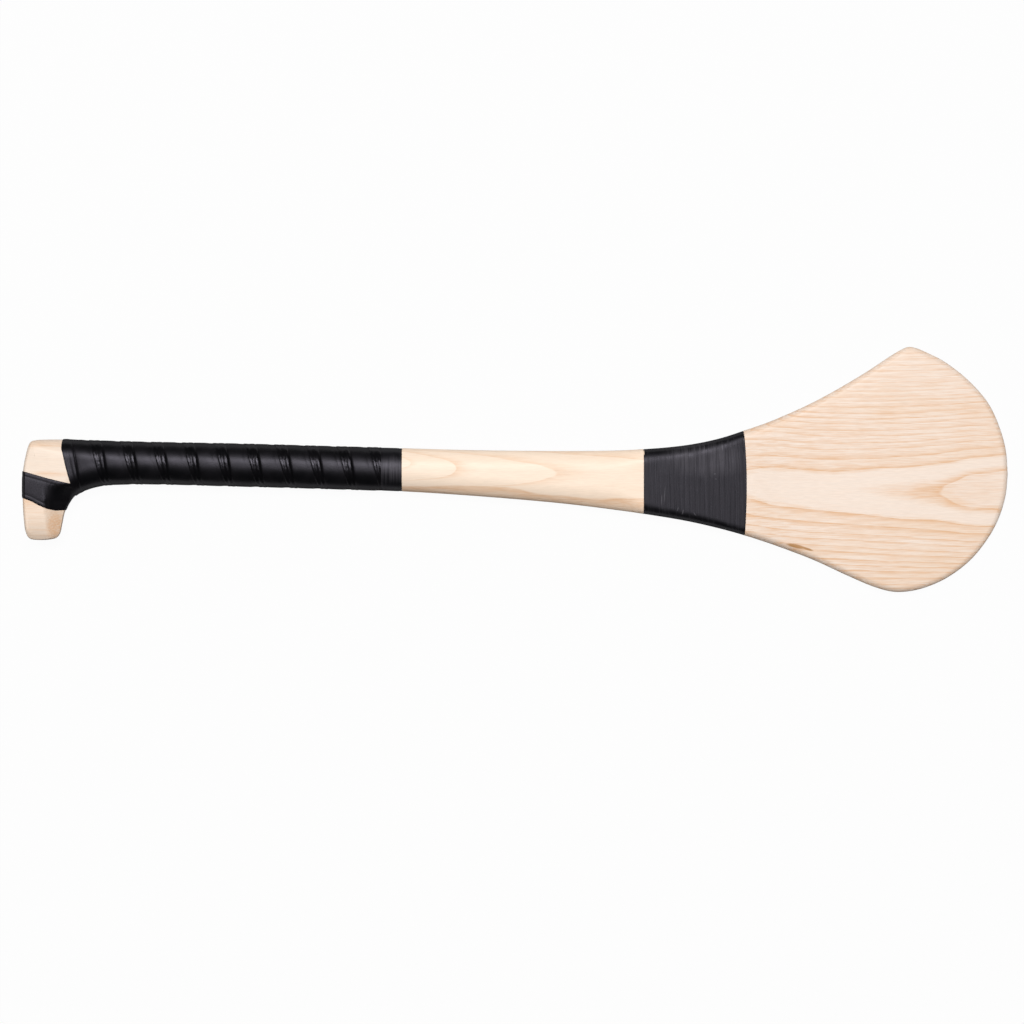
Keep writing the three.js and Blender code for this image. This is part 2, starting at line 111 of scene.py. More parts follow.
def edgeCurve(nodes, fineness=48):
    # a centripetal Catmull-Rom curve through the nodes, closely sampled
    points = np.array(nodes, float)
    points = np.vstack([2 * points[0] - points[1], points, 2 * points[-1] - points[-2]])
    gaps = np.sum(np.diff(points, axis=0) ** 2, axis=1) ** 0.25
    share = np.linspace(0, 1, fineness, endpoint=False)[:, None]
    runs = []
    for i in range(1, len(points) - 2):
        before, here, after, beyond = points[i - 1:i + 3]
        a, b, c = gaps[i - 1:i + 2]
        leave = b * ((here - before) / a - (after - before) / (a + b) + (after - here) / b)
        arrive = b * ((after - here) / b - (beyond - here) / (b + c) + (beyond - after) / c)
        runs.append(here + leave * share + (3 * (after - here) - 2 * leave - arrive) * share ** 2
                    + (2 * (here - after) + leave + arrive) * share ** 3)
    line = np.vstack(runs + [points[-2:-1]])
    along = np.gradient(line[:, :2], axis=0)
    along /= np.linalg.norm(along, axis=1)[:, None]
    run = np.concatenate([[0], np.cumsum(np.linalg.norm(np.diff(line[:, :2], axis=0), axis=1))])
    return {"run": run, "line": line, "along": along}


def thicknessAt(x):
    # the straight runs of thickness, with their corners eased
    places, sizes = zip(*outline["thickness"])
    return np.mean([np.interp(np.clip(x + shift, *wholeStick), places, sizes) for shift in outline["eased"]],
                   axis=0)


def recessAt(x):
    rise = np.clip((x - recess["gripStart"]) / recess["ramp"], 0, 1)
    depth = recess["gripDepth"] * rise * rise * (3 - 2 * rise)
    depth = np.where(x > recess["gripEnd"] + recess["step"], 0, depth)
    banded = (x > bandStart - recess["step"]) & (x < bandEnd + recess["step"])
    return np.where(banded, recess["bandDepth"], depth)


def edgeRows(curve, runs, side):
    # rows of points from the outline inwards and up to the front face, one line of them for each station
    x, y, reach = (np.interp(runs, curve["run"], curve["line"][:, i]) for i in range(3))
    tangentX, tangentY = (np.interp(runs, curve["run"], curve["along"][:, i]) for i in range(2))
    straight = (x >= outline["throatEnd"]) & (x < bandEnd + outline["pastBand"])
    tangentX, tangentY = np.where(straight, 1, tangentX), np.where(straight, 0, tangentY)
    angles = np.linspace(0, math.pi / 2, outline["edgeRows"] + 1)
    power = np.interp(x, *zip(*outline["squarer"]))[:, None]   # 1 is a round edge, less a squarer one
    inset = reach[:, None] * (1 - np.cos(angles) ** power)
    rowX = x[:, None] + side * tangentY[:, None] * inset
    rowY = y[:, None] - side * tangentX[:, None] * inset
    return np.stack([rowX, rowY, thicknessAt(rowX) / 2 * np.sin(angles) ** power], axis=-1)


def frontRows():
    # the front half of the dressed stick: stations along it, and rows from its upper to its lower edge
    upper, lower = edgeCurve(outline["upper"]), edgeCurve(outline["lower"])

    def runAt(curve, x):
        return np.interp(x, np.maximum.accumulate(curve["line"][:, 0]), curve["run"])

    square = np.concatenate([np.linspace(*stretch) for stretch in outline["squareStations"]])
    runs = []
    for curve, knobEnd in zip((upper, lower), outline["knobFan"]):
        start, end, toe = (runAt(curve, x) for x in (knobEnd, outline["throatEnd"], outline["toeFan"]))
        runs.append(np.concatenate([
            np.linspace(0, start, outline["buttStations"])[:-1],
            np.linspace(start, end, outline["throatStations"])[:-1], runAt(curve, square),
            np.linspace(toe, curve["run"][-1], outline["toeStations"])[1:]]))
    above, below = edgeRows(upper, runs[0], 1), edgeRows(lower, runs[1], -1)
    for end in (0, -1):   # both edges start and end on one row
        above[end] = below[end] = (above[end] + below[end]) / 2
    shares = np.linspace(0, 1, outline["middleRows"] + 1)[1:-1]
    middle = [above[:, -1] * (1 - share) + below[:, -1] * share for share in shares]
    rows = np.concatenate([above, np.stack(middle, axis=1), below[:, ::-1]], axis=1)
    return pareKnob(rows)


def pareKnob(rows):
    x, y, z = np.moveaxis(rows, -1, 0)
    width = np.maximum(np.interp(y, *zip(*knob["innerSide"])) - knob["facetStart"], knob["leastWidth"])
    fall = np.maximum(x - knob["facetStart"], 0) / width
    facet = knob["level"] - fall * (knob["level"] - knob["leastHeight"])
    bevel = knob["level"] - np.maximum(knob["bevelStart"] - y, 0) * knob["bevelSlope"]
    pared = np.minimum(z, np.maximum(np.minimum(facet, bevel), knob["leastHeight"]))
    share = (np.clip((knob["above"] - y) / (knob["above"] - knob["below"]), 0, 1)
             * np.clip((knob["fadeEnd"] - x) / (knob["fadeEnd"] - knob["fadeStart"]), 0, 1))
    return np.stack([x, y, z + (pared - z) * share], axis=-1)


front = frontRows()
rings = np.concatenate([front, front[:, -2:0:-1] * (1, 1, -1)], axis=1)
ringNormals = np.cross(np.roll(rings, -1, 1) - np.roll(rings, 1, 1), np.gradient(rings, axis=0))
ringNormals *= np.sign(np.sum(ringNormals * (rings - rings.mean(axis=1, keepdims=True)), axis=2))[..., None]
ringNormals /= np.maximum(np.linalg.norm(ringNormals, axis=2), 1e-9)[..., None]
print("outline:", front.shape[0], "stations of", front.shape[1], "rows")


def moveGrid(bm, points, flat=None):
    # points places a grid's corners, along and then across; flat gives their places on the unrolled tape
    along, across = points.shape[0] - 1, points.shape[1] - 1
    bmesh.ops.create_grid(bm, x_segments=along, y_segments=across, size=1)
    corners = {}
    for vert in bm.verts:
        corners[vert] = round((vert.co.x + 1) / 2 * along), round((vert.co.y + 1) / 2 * across)
        vert.co = points[corners[vert]]
    if flat is not None:
        layer = bm.loops.layers.uv.new("tape")
        for face in bm.faces:
            for loop in face.loops:
                loop[layer].uv = flat[corners[loop.vert]]


def stickSkin(stations):
    # the dressed stick's surface as a closed skin, or an open one where the stations stop short
    bm = bmesh.new()
    moveGrid(bm, front[stations])
    bmesh.ops.mirror(bm, geom=bm.verts[:] + bm.edges[:] + bm.faces[:], matrix=Matrix.Identity(4),
                     merge_dist=0.0005, axis="Z")
    bmesh.ops.remove_doubles(bm, verts=bm.verts, dist=0.01)
    bmesh.ops.recalc_face_normals(bm, faces=bm.faces)
    bm.normal_update()
    return bm


def raiseSkin(bm, heightAt):
    moves = [vert.normal * float(heightAt(vert.co)) for vert in bm.verts]
    for vert, move in zip(bm.verts, moves):
        vert.co += move


def thicken(bm, depth):
    # an open skin gets an inner wall this far below it, and a rim
    bmesh.ops.recalc_face_normals(bm, faces=bm.faces)
    bm.normal_update()
    grown = bmesh.ops.extrude_face_region(bm, geom=bm.faces[:], use_keep_orig=True)
    for part in grown["geom"]:
        if isinstance(part, bmesh.types.BMVert):
            part.co -= part.normal * depth
    bmesh.ops.recalc_face_normals(bm, faces=bm.faces)


def bowNeck(place):
    # the binding's far end bulges towards the toe in the middle, and the wood under it with it
    side = (place.y - neckBow["middle"]) / neckBow["half"]
    near = max(0, 1 - abs(place.x - bandEnd) / neckBow["reach"])
    back = neckBow["upperBack"] if side > 0 else neckBow["lowerBack"]
    return (neckBow["bulge"] - back * side * side) * near * near * (3 - 2 * near)


def finishPiece(name, bm, material, node, sharpAngle=42):
    for vert in bm.verts:
        vert.co.x += bowNeck(vert.co)
    bmesh.ops.transform(bm, matrix=layDown, verts=bm.verts)
    for vert in bm.verts:   # what lies on the table is pressed flat there
        vert.co.z = max(vert.co.z, 0)
    mesh = bpy.data.meshes.new(name)
    bm.to_mesh(mesh)
    bm.free()
    mesh.polygons.foreach_set("use_smooth", [True] * len(mesh.polygons))
    mesh.set_sharp_from_angle(angle=math.radians(sharpAngle))
    mesh.materials.append(material)
    piece = bpy.data.objects.new(name, mesh)
    bpy.context.scene.collection.objects.link(piece)
    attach(piece, "root")
    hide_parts(node)
    print("piece:", name, len(mesh.polygons), "faces")


# Materials

def paint(code):
    # an sRGB hex value as linear colour
    parts = [int(code[i:i + 2], 16) / 255 for i in (1, 3, 5)]
    return (*[part / 12.92 if part <= 0.04045 else ((part + 0.055) / 1.055) ** 2.4 for part in parts], 1)


def fillInputs(tree, node, inputs):
    # an input is a plain value, an output, or another node, which then gives its first output in use
    for name, value in inputs.items():
        if isinstance(value, bpy.types.Node):
            value = next(output for output in value.outputs if output.enabled)
        if isinstance(value, bpy.types.NodeSocket):
            tree.links.new(value, node.inputs[name])
        else:
            node.inputs[name].default_value = value


def addNode(tree, kind, inputs={}, stops=(), curve=(), **settings):
    # stops are a ramp's places and colours, curve the points of a float curve
    node = tree.nodes.new("ShaderNode" + kind)
    for name, value in settings.items():
        setattr(node, name, value)
    fillInputs(tree, node, inputs)
    for i, (place, colour) in enumerate(stops):
        elements = node.color_ramp.elements
        element = elements[i] if i < 2 else elements.new(place)
        element.position = place
        element.color = paint(colour) if isinstance(colour, str) else (colour, colour, colour, 1)
    for i, point in enumerate(curve):
        line = node.mapping.curves[0]
        if i < 2:
            line.points[i].location = point
        else:
            line.points.new(*point)
    if curve:
        node.mapping.update()
    return node


def newMaterial(name):
    material = bpy.data.materials.new(name)
    material.use_nodes = True
    tree = material.node_tree
    return material, tree, tree.nodes["Principled BSDF"]


def stickPlace(tree):
    # Object coordinates turned back into the stick's own frame, in millimetres
    coordinates = addNode(tree, "TexCoord")
    offset = [value / 1000 for value in laid["offset"]]
    return addNode(tree, "Mapping", {"Vector": coordinates.outputs["Object"], "Location": offset,
                                     "Rotation": (0, laid["lean"], 0), "Scale": (0.001, 0.001, 0.001)},
                   vector_type="TEXTURE")


frontMarks = {"height": 8, "reach": 12}   # mm: above the stick's middle, and up and down from there


def ovalMask(tree, place, middle, reach, turned=0, edge=(1.2, 0.5)):
    # 1 inside an oval on the front of the stick, fading out at its edge
    local = addNode(tree, "Mapping", {"Vector": place, "Location": (*middle, frontMarks["height"]),
                                      "Rotation": (0, 0, turned), "Scale": (*reach, frontMarks["reach"])},
                    vector_type="TEXTURE")
    out = addNode(tree, "VectorMath", {0: local}, operation="LENGTH")
    return addNode(tree, "MapRange", {"Value": out, "From Min": edge[0], "From Max": edge[1]},
                   interpolation_type="SMOOTHSTEP")


def dullAtRim(tree, roughness):
    # planed wood and matt tape hardly shine where they are seen along their surface
    weight = addNode(tree, "LayerWeight", {"Blend": 0.5})
    steep = addNode(tree, "MapRange", {"Value": weight.outputs["Facing"], "From Min": 0.3, "From Max": 0.75})
    return addNode(tree, "Mix", {0: steep, 2: roughness, 3: 0.95})


# Planed ash under a thin satin lacquer: nearly white latewood with honey lines where each year's coarse
# pores start, sharp on the side of the pith and fading outwards, all broken into short dashes
ash = {
    # the bare wood's colour along the stick, its shaft a little yellower; its heel is painted a little
    # darker, as shade against the stronger light there
    "plain": [(0, "#f3e0ce"), (60, "#f3e0ce"), (100, "#fee8d2"), (575, "#fee8d2"), (605, "#f8e6d7"),
              (864, "#f8e6d7")],
    "line": "#e9bb92", "amber": "#f0cba4", "knot": "#bb8a58",
    "roughness": 0.46, "ior": 1.45,
    # mm, length and width: the pores' dashes (real ones are a third of that, too fine to show), the short
    # light and dark flecks between them, and the broad drifts of tone
    "pores": (24, 1.0), "flecks": (8, 0.8), "drift": (160, 20),
    "poreDepth": 0.00005,   # metres
    # mm: how the years waver, slowly and quickly: each wave's length and width, and how far it carries a line
    "slowWave": (95, 24, 1.4), "quickWave": (30, 6, 0.7),
    "shaftWave": 1.1,   # how far the quick wave carries the shaft's own lines
    # the pith runs below the front face: its place across, and its depth below the middle, along the stick
    "pithAcross": [(0, 2), (342, 1.3), (542, -8.5), (635, -14.2), (739, -20.3), (802, -19.9), (864, -18.1)],
    "pithDepth": [(0, 12.1), (93, 11.3), (380, 24.4), (530, 28.3), (634, 28.1), (700, 29.2), (750, 27.7),
                  (802, 25), (813, 23.9), (835, 21.6), (864, 20.6)],
    # how far from the pith each year starts, in mm, and how far out no year is left
    "outermost": 140,
    "years": [14, 20, 25.5, 30.5, 35.3, 36.8, 39.7, 45.1, 50.8, 54.8, 59.6, 63.6, 68.8, 72.8, 76.7, 81.5,
              86.4, 89.4, 94.4, 98.2, 101.7, 106.1, 111.3, 115.7, 121, 126, 130.6],
    # how dark the lines are at a distance from the pith
    "strength": [(0, 0.1), (28.6, 0.12), (30.5, 0.95), (34, 0.35), (37, 0.5), (39.7, 1), (46, 0.95),
                 (52, 0.75), (60, 0.7), (72, 0.95), (82, 0.75), (95, 0.6), (125, 0.5)],
    # the blade's plain middle: the years between these radii hardly show, and what share of them is left
    "plainYears": (34, 39, 0.08),
    # the lines on the blade's lower side are darker: between which places across, and by how much
    "lowerFrom": (-28, -42), "lowerDarker": 1.12,
    # how plainly the years show along the stick, low on the shaft, whose own lines are below
    "shown": [(0, 0.3), (60, 0.3), (90, 0.1), (575, 0.1), (605, 1), (864, 1)],
    # lines on the shaft: noses that point at the toe, as places across and along, and then lines that run
    # along it, each with how far it fades out and how dark it starts
    "noses": [([(-1, 325), (1.4, 333.5), (5.3, 339.5), (9.3, 333.5), (11.5, 325)], 10, 0.3),
              ([(-10.6, 310), (-9.6, 336.4), (-8.4, 356.8), (-6, 370), (-2.6, 376.5), (1.3, 378.8),
                (4.7, 375.8), (7.7, 370), (11.1, 356.8), (15, 336.4), (17, 310)], 20, 0.5),
              ([(-15.2, 330), (-15, 380), (-14.2, 415), (-12, 440), (-9, 455), (-3.5, 465.7), (0.5, 459.1),
                (4.3, 447.4), (7.2, 429.9), (10.9, 409.4), (13.5, 386.1), (15.5, 356.8), (17, 320)],
               42, 0.42)],
    "above": [([(340, 17.6), (392, 17), (444.5, 15.4), (473.8, 13), (517.6, 10.1), (543.9, 7.6), (600, 4)],
               8, 0.4)],
    "below": [([(330, -14.4), (415, -14.6), (430, -16.2), (449, -20.1), (473.8, -23), (495.7, -24.5),
                (544, -25), (600, -26)], 26, 0.75)],
    "shaftEnd": (598, 580), "shaftFront": (-8, -2),   # they fade out under the binding and round the edges
    # half the blade's thickness, so that its lines run straight out over its rounded rim
    "halfBlade": ((700, 7), (864, 4.5)), "bladeStart": (630, 690),
    # amber stains and the knob facet's painted shade: along, across, how long and wide they reach, and how
    # strong they are
    "stainsAndFacetShade": [(790, -19.5, 17, 8.5, 0.42), (766, -17.5, 34, 5.5, 0.2), (838, -18.5, 36, 16, 0.22),
               (27, -4.2, 19, 3.2, 0.5),
               # painted shade: the knob's facet is painted darker than its tilt alone shades it
               (29.5, -50, 8, 13, 0.75)],
    "knots": [(677, -67.3, 10, 2, 0.22), (687, -69.8, 6, 1.2, 0.3)],
}


def readCurve(tree, position, points, places, values):
    # a value read off a drawn curve of (place, value) points; places and values are the ends of its two axes
    (first, last), (low, high) = places, values
    share = addNode(tree, "MapRange", {"Value": position, "From Min": first, "From Max": last})
    curve = addNode(tree, "FloatCurve", {"Value": share},
                    curve=[((place - first) / (last - first), (value - low) / (high - low))
                           for place, value in points])
    return addNode(tree, "Math", {0: curve, 1: high - low, 2: low}, operation="MULTIPLY_ADD")


def pithDistance(tree, apart):
    x, y, z = apart
    pithY = readCurve(tree, x, ash["pithAcross"], wholeStick, (-30, 10))
    pithBelow = readCurve(tree, x, ash["pithDepth"], wholeStick, (0, 40))
    # on the blade, height above the middle is held level out to the rounded rim
    (nearX, nearHalf), (farX, farHalf) = ash["halfBlade"]
    half = addNode(tree, "MapRange", {"Value": x, "From Min": nearX, "From Max": farX,
                                      "To Min": nearHalf, "To Max": farHalf})
    steep = addNode(tree, "Math", {0: z, 1: half}, operation="DIVIDE")
    level = addNode(tree, "MapRange", {"Value": steep, "From Min": -0.35, "From Max": 0.35,
                                       "To Min": -1.0, "To Max": 1.0})
    levelled = addNode(tree, "Math", {0: level, 1: half}, operation="MULTIPLY")
    onBlade = addNode(tree, "MapRange", {"Value": x, "From Min": ash["bladeStart"][0],
                                         "From Max": ash["bladeStart"][1]})
    height = addNode(tree, "Mix", {0: onBlade, 2: z, 3: levelled})
    fromPithY = addNode(tree, "Math", {0: y, 1: pithY}, operation="SUBTRACT")
    fromPithZ = addNode(tree, "Math", {0: pithBelow, 1: height}, operation="ADD")
    fromPith = addNode(tree, "CombineXYZ", {1: fromPithY, 2: fromPithZ})
    return addNode(tree, "VectorMath", {0: fromPith}, operation="LENGTH")


def yearLines(tree, place, apart, quickWave):
    # each year's dark line, from 1 where it starts to 0, and how plainly the years show at a place
    length, width, far = ash["slowWave"]
    slow = addNode(tree, "Mapping", {"Vector": place, "Scale": (1 / length, 1 / width, 1 / width)})
    slowWave = addNode(tree, "TexNoise", {"Vector": slow, "Scale": 1.0, "Detail": 1.5})
    shift = addNode(tree, "MapRange", {"Value": slowWave, "To Min": -far, "To Max": far})
    shiftQuick = addNode(tree, "MapRange", {"Value": quickWave, "To Min": -ash["quickWave"][2],
                                            "To Max": ash["quickWave"][2]})
    shifts = addNode(tree, "Math", {0: shift, 1: shiftQuick}, operation="ADD")
    radius = addNode(tree, "Math", {0: pithDistance(tree, apart), 1: shifts}, operation="ADD")
    places = (0, ash["outermost"])
    starts = list(zip([0] + ash["years"] + [ash["outermost"]], range(len(ash["years"]) + 2)))
    year = readCurve(tree, radius, starts, places, (0, 30))
    phase = addNode(tree, "Math", {0: year}, operation="FRACT")
    line = addNode(tree, "ValToRGB", {0: phase},
                   stops=[(0, 0.0), (1, 0.0), (0.06, 1.0), (0.16, 0.65), (0.34, 0.25), (0.65, 0.06)])
    low, high, left = ash["plainYears"]
    inner = addNode(tree, "MapRange", {"Value": radius, "From Min": low - 1.5, "From Max": low,
                                       "To Min": 1.0, "To Max": left})
    outer = addNode(tree, "MapRange", {"Value": radius, "From Min": high - 0.4, "From Max": high + 0.4,
                                       "To Min": left, "To Max": 1.0})
    plainer = addNode(tree, "Math", {0: inner, 1: outer}, operation="MAXIMUM")
    lowerSide = addNode(tree, "MapRange", {"Value": apart["Y"], "From Min": ash["lowerFrom"][0],
                                           "From Max": ash["lowerFrom"][1], "To Min": 1.0,
                                           "To Max": ash["lowerDarker"]})
    shown = readCurve(tree, apart["X"], ash["shown"], wholeStick, (0, 1))
    kept = readCurve(tree, radius, ash["strength"], places, (0, 1))
    for other in (plainer, shown, lowerSide):
        kept = addNode(tree, "Math", {0: kept, 1: other}, operation="MULTIPLY")
    return line, kept


def shaftLines(tree, apart, quickWave, broken):
    # the shaft's lines, each fading away from its own curve; the darkest at a place shows
    x, y, z = apart
    waver = addNode(tree, "MapRange", {"Value": quickWave, "To Min": -ash["shaftWave"],
                                       "To Max": ash["shaftWave"]})
    acrossWavy = addNode(tree, "Math", {0: y, 1: waver}, operation="ADD")
    onShaft, onFront = (addNode(tree, "MapRange", {"Value": at, "From Min": start, "From Max": end})
                        for at, (start, end) in ((x, ash["shaftEnd"]), (z, ash["shaftFront"])))
    here = addNode(tree, "Math", {0: onShaft, 1: onFront}, operation="MULTIPLY")
    reach = (-40, 40)   # mm: the widest that the lines lie across the stick
    darkest = None
    for kind, away in (("noses", 1), ("above", 1), ("below", -1)):
        for points, fade, strong in ash[kind]:
            if kind == "noses":
                ends = [(reach[0], points[0][1])] + points
                own, at = x, readCurve(tree, acrossWavy, ends, reach, wholeStick)
            else:
                own, at = acrossWavy, readCurve(tree, x, points, wholeStick, reach)
            past = addNode(tree, "Math", {0: own, 1: at}, operation="SUBTRACT")
            pastShare = addNode(tree, "Math", {0: past, 1: away / fade}, operation="MULTIPLY")
            drawn = addNode(tree, "ValToRGB", {0: pastShare},
                            stops=[(0, 0.0), (1, 0.0), (0.06, 1.0), (0.3, 0.6), (0.65, 0.2)])
            for other in (broken, strong, here):
                drawn = addNode(tree, "Math", {0: drawn, 1: other}, operation="MULTIPLY")
            if darkest is None:
                darkest = drawn
            else:
                darkest = addNode(tree, "Math", {0: darkest, 1: drawn}, operation="MAXIMUM")
    return darkest


def makeAsh():
    material, tree, shader = newMaterial("ash_planed_satin_lacquer")
    place = stickPlace(tree)
    apart = addNode(tree, "SeparateXYZ", {0: place}).outputs
    # noises drawn out along the grain: the quick waves, the pores' dashes that break the lines up, finer
    # flecks among them, and broad drifts of tone
    quickWave, pores, flecks, drift = (
        addNode(tree, "TexNoise", {
            "Vector": addNode(tree, "Mapping", {"Vector": place,
                                                "Scale": (1 / length, 1 / width, 1 / width)}),
            "Scale": 1.0, "Detail": detail, "Roughness": roughness})
        for (length, width), detail, roughness in (
            (ash["quickWave"][:2], 2.0, 0.5), (ash["pores"], 2.0, 0.6), (ash["flecks"], 1.0, 0.5),
            (ash["drift"], 3.0, 0.5)))
    line, kept = yearLines(tree, place, apart, quickWave)
    broken = addNode(tree, "MapRange", {"Value": pores, "From Min": 0.36, "From Max": 0.6,
                                        "To Min": 0.5, "To Max": 1.15})
    dark = addNode(tree, "Math", {0: line, 1: kept}, operation="MULTIPLY")
    dark = addNode(tree, "Math", {0: dark, 1: broken}, operation="MULTIPLY")
    onShaft = shaftLines(tree, apart, quickWave, broken)
    darker = addNode(tree, "Math", {0: dark, 1: onShaft}, operation="MAXIMUM")
    # the bare wood, with the drifts between its years, and the painted shade on its heel
    driftShare = addNode(tree, "MapRange", {"Value": drift, "From Min": 0.35, "From Max": 0.75,
                                            "To Min": 0.0, "To Max": 0.45})
    driftKept = addNode(tree, "Math", {0: driftShare, 1: kept}, operation="MULTIPLY")
    along = addNode(tree, "Math", {0: apart["X"], 1: stickLength}, operation="DIVIDE")
    plain = addNode(tree, "ValToRGB", {0: along},
                    stops=[(x / stickLength, tint) for x, tint in ash["plain"]])
    tone = addNode(tree, "Mix", {0: driftKept, 6: plain, 7: paint(ash["amber"])}, data_type="RGBA")
    # amber stains, and painted shade on the knob's facet
    for x, y, length, width, strong in ash["stainsAndFacetShade"]:
        stainAndShade = ovalMask(tree, place, (x, y), (length, width))
        ragged = addNode(tree, "MapRange", {"Value": pores, "From Min": 0.3, "From Max": 0.65,
                                            "To Min": strong * 0.3, "To Max": strong * 1.3})
        stainedAndShaded = addNode(tree, "Math", {0: stainAndShade, 1: ragged}, operation="MULTIPLY")
        tone = addNode(tree, "Mix", {0: stainedAndShaded, 6: tone, 7: paint(ash["line"])}, data_type="RGBA")
    # dashes everywhere, thickest where the years are strong
    darkDash = addNode(tree, "MapRange", {"Value": pores, "From Min": 0.38, "From Max": 0.68,
                                          "To Min": 0.0, "To Max": 0.5})
    zone = addNode(tree, "MapRange", {"Value": kept, "From Max": 0.7, "To Min": 0.12, "To Max": 1.0})
    dashShare = addNode(tree, "Math", {0: darkDash, 1: zone}, operation="MULTIPLY")
    for share in (dashShare, darker):
        tone = addNode(tree, "Mix", {0: share, 6: tone, 7: paint(ash["line"])}, data_type="RGBA")
    for x, y, length, width, turned in ash["knots"]:
        knot = ovalMask(tree, place, (x, y), (length, width), -turned, edge=(1.15, 0.5))
        tone = addNode(tree, "Mix", {0: knot, 6: tone, 7: paint(ash["knot"])}, data_type="RGBA")
    fleckShade = addNode(tree, "MapRange", {"Value": flecks, "From Min": 0.3, "From Max": 0.7,
                                            "To Min": 0.965, "To Max": 1.025})
    shaded = addNode(tree, "VectorMath", {0: tone, 3: fleckShade}, operation="SCALE")
    rough = addNode(tree, "MapRange", {"Value": darker, "To Min": ash["roughness"],
                                       "To Max": ash["roughness"] + 0.16})
    hollow = addNode(tree, "Math", {0: darker, 1: pores}, operation="MULTIPLY")
    bump = addNode(tree, "Bump", {"Height": hollow, "Distance": ash["poreDepth"], "Strength": 0.4},
                   invert=True)
    fillInputs(tree, shader, {"Base Color": shaded, "Roughness": dullAtRim(tree, rough), "Normal": bump,
                              "IOR": ash["ior"]})
    return material


# Cushioned grip tape: black polyurethane with a pressed leather grain and a soft sheen. Its border was
# pressed hotter than the rest, so it is smoother, wrinkled along its length, and catches the light in streaks
cushion = {
    "colour": "#060607", "worn": "#0b0a0c", "roughness": 0.385, "border": 0.28, "ior": 1.45,
    "specular": 0.26, "tint": "#f4eeff", "borderWidth": 9,
    # mm between creases of the pressed grain (real ones are half that, too fine to show), and metres deep
    "grain": 1.1, "grainDepth": 0.00004,
    "patches": 14,   # mm: how broad the more and less rubbed patches are
    # the border's wrinkles: how long and wide they are in mm, and how deep in metres
    "wrinkles": (3.4, 1.2), "wrinkleDepth": 0.0003,
    "wound": (45, 95, 0.12),   # the first turn has less of them: between where, and what share
}


def makeCushion():
    material, tree, shader = newMaterial("polyurethane_grip_tape_black")
    place = stickPlace(tree)
    unrolled = addNode(tree, "UVMap", uv_map="tape")
    onTape = addNode(tree, "SeparateXYZ", {0: unrolled}).outputs
    near = addNode(tree, "MapRange", {"Value": onTape["Y"], "From Min": cushion["borderWidth"] + 0.5,
                                      "From Max": cushion["borderWidth"] - 1.2})
    start, end, less = cushion["wound"]
    wound = addNode(tree, "MapRange", {"Value": onTape["X"], "From Min": start, "From Max": end,
                                       "To Min": less, "To Max": 1.0})
    border = addNode(tree, "Math", {0: near, 1: wound}, operation="MULTIPLY")
    cells = addNode(tree, "TexVoronoi", {"Vector": place, "Scale": 1 / cushion["grain"]},
                    feature="DISTANCE_TO_EDGE")
    patches = addNode(tree, "TexNoise", {"Vector": place, "Scale": 1 / cushion["patches"], "Detail": 3.0})
    rubbed = addNode(tree, "MapRange", {"Value": patches, "From Min": 0.4, "From Max": 0.7})
    colour = addNode(tree, "Mix", {0: rubbed, 6: paint(cushion["colour"]),
                                   7: paint(cushion["worn"])}, data_type="RGBA")
    body = addNode(tree, "MapRange", {"Value": patches, "From Min": 0.3, "From Max": 0.7,
                                      "To Min": cushion["roughness"] - 0.04,
                                      "To Max": cushion["roughness"] + 0.05})
    rough = addNode(tree, "Mix", {0: border, 2: body, 3: cushion["border"]})
    creases = addNode(tree, "MapRange", {"Value": cells.outputs["Distance"], "From Max": 0.2})
    pressed = addNode(tree, "Bump", {"Height": creases, "Distance": cushion["grainDepth"], "Strength": 0.35})
    length, width = cushion["wrinkles"]
    folds = addNode(tree, "Mapping", {"Vector": unrolled, "Scale": (1 / length, 1 / width, 1)})
    wrinkles = addNode(tree, "TexNoise", {"Vector": folds, "Scale": 1.0, "Detail": 2.0})
    centred = addNode(tree, "Math", {0: wrinkles, 1: 0.5}, operation="SUBTRACT")
    deep = addNode(tree, "Math", {0: centred, 1: border}, operation="MULTIPLY")
    wrinkled = addNode(tree, "Bump", {"Height": deep, "Normal": pressed,
                                      "Distance": cushion["wrinkleDepth"], "Strength": 0.9})
    fillInputs(tree, shader, {"Base Color": colour, "Roughness": dullAtRim(tree, rough), "Normal": wrinkled,
                              "IOR": cushion["ior"], "Specular IOR Level": cushion["specular"],
                              "Specular Tint": paint(cushion["tint"])})
    return material


# Stretched vinyl tape: charcoal, satin, with drawn lines along its length, small scuffs and a few scratches
vinyl = {
    "colour": "#09090b", "scuffed": "#29282b", "mark": "#5c5a5e", "roughness": 0.46, "ior": 1.45,
    "specular": 0.3, "tint": "#f4eeff",
    "fresher": (400, 345, 0.02),   # the handle's end is less rough than the neck: between where, and how much
    # mm: length and spacing of the drawn lines, and of the broader ridges where the tape was stretched more
    "drawn": (45, 0.75), "pulled": (60, 2.6), "ridgeDepth": 0.00012,   # the depth in metres
    "patches": 9,     # mm: how broad the more and less scuffed patches are
    # a painted highlight, a paler sheen: along, across, how long and wide it reaches, and how strongly
    "rubbed": [(598, 8, 44, 17, 0.85), (322, -0.5, 24, 13, 0.95)], "paintedSheen": "#3f3d41",
    # scratches on the binding: along, across, half their length and width, and how far they are turned
    "scratches": [(605.5, -4.1, 1.1, 0.5, 0), (606.4, -8.5, 0.6, 0.5, 0), (573.1, -34.8, 2.2, 0.45, 1.2),
                  (577.5, -37.4, 2.6, 0.45, 1.35), (588, -39.2, 2, 0.5, 2.2), (559, -27, 5, 0.35, 1.57),
                  (561.6, -22, 9, 0.3, 1.52), (596.5, 17.5, 4, 0.4, 1.5), (612, 20, 5, 0.35, 1.6)],
}


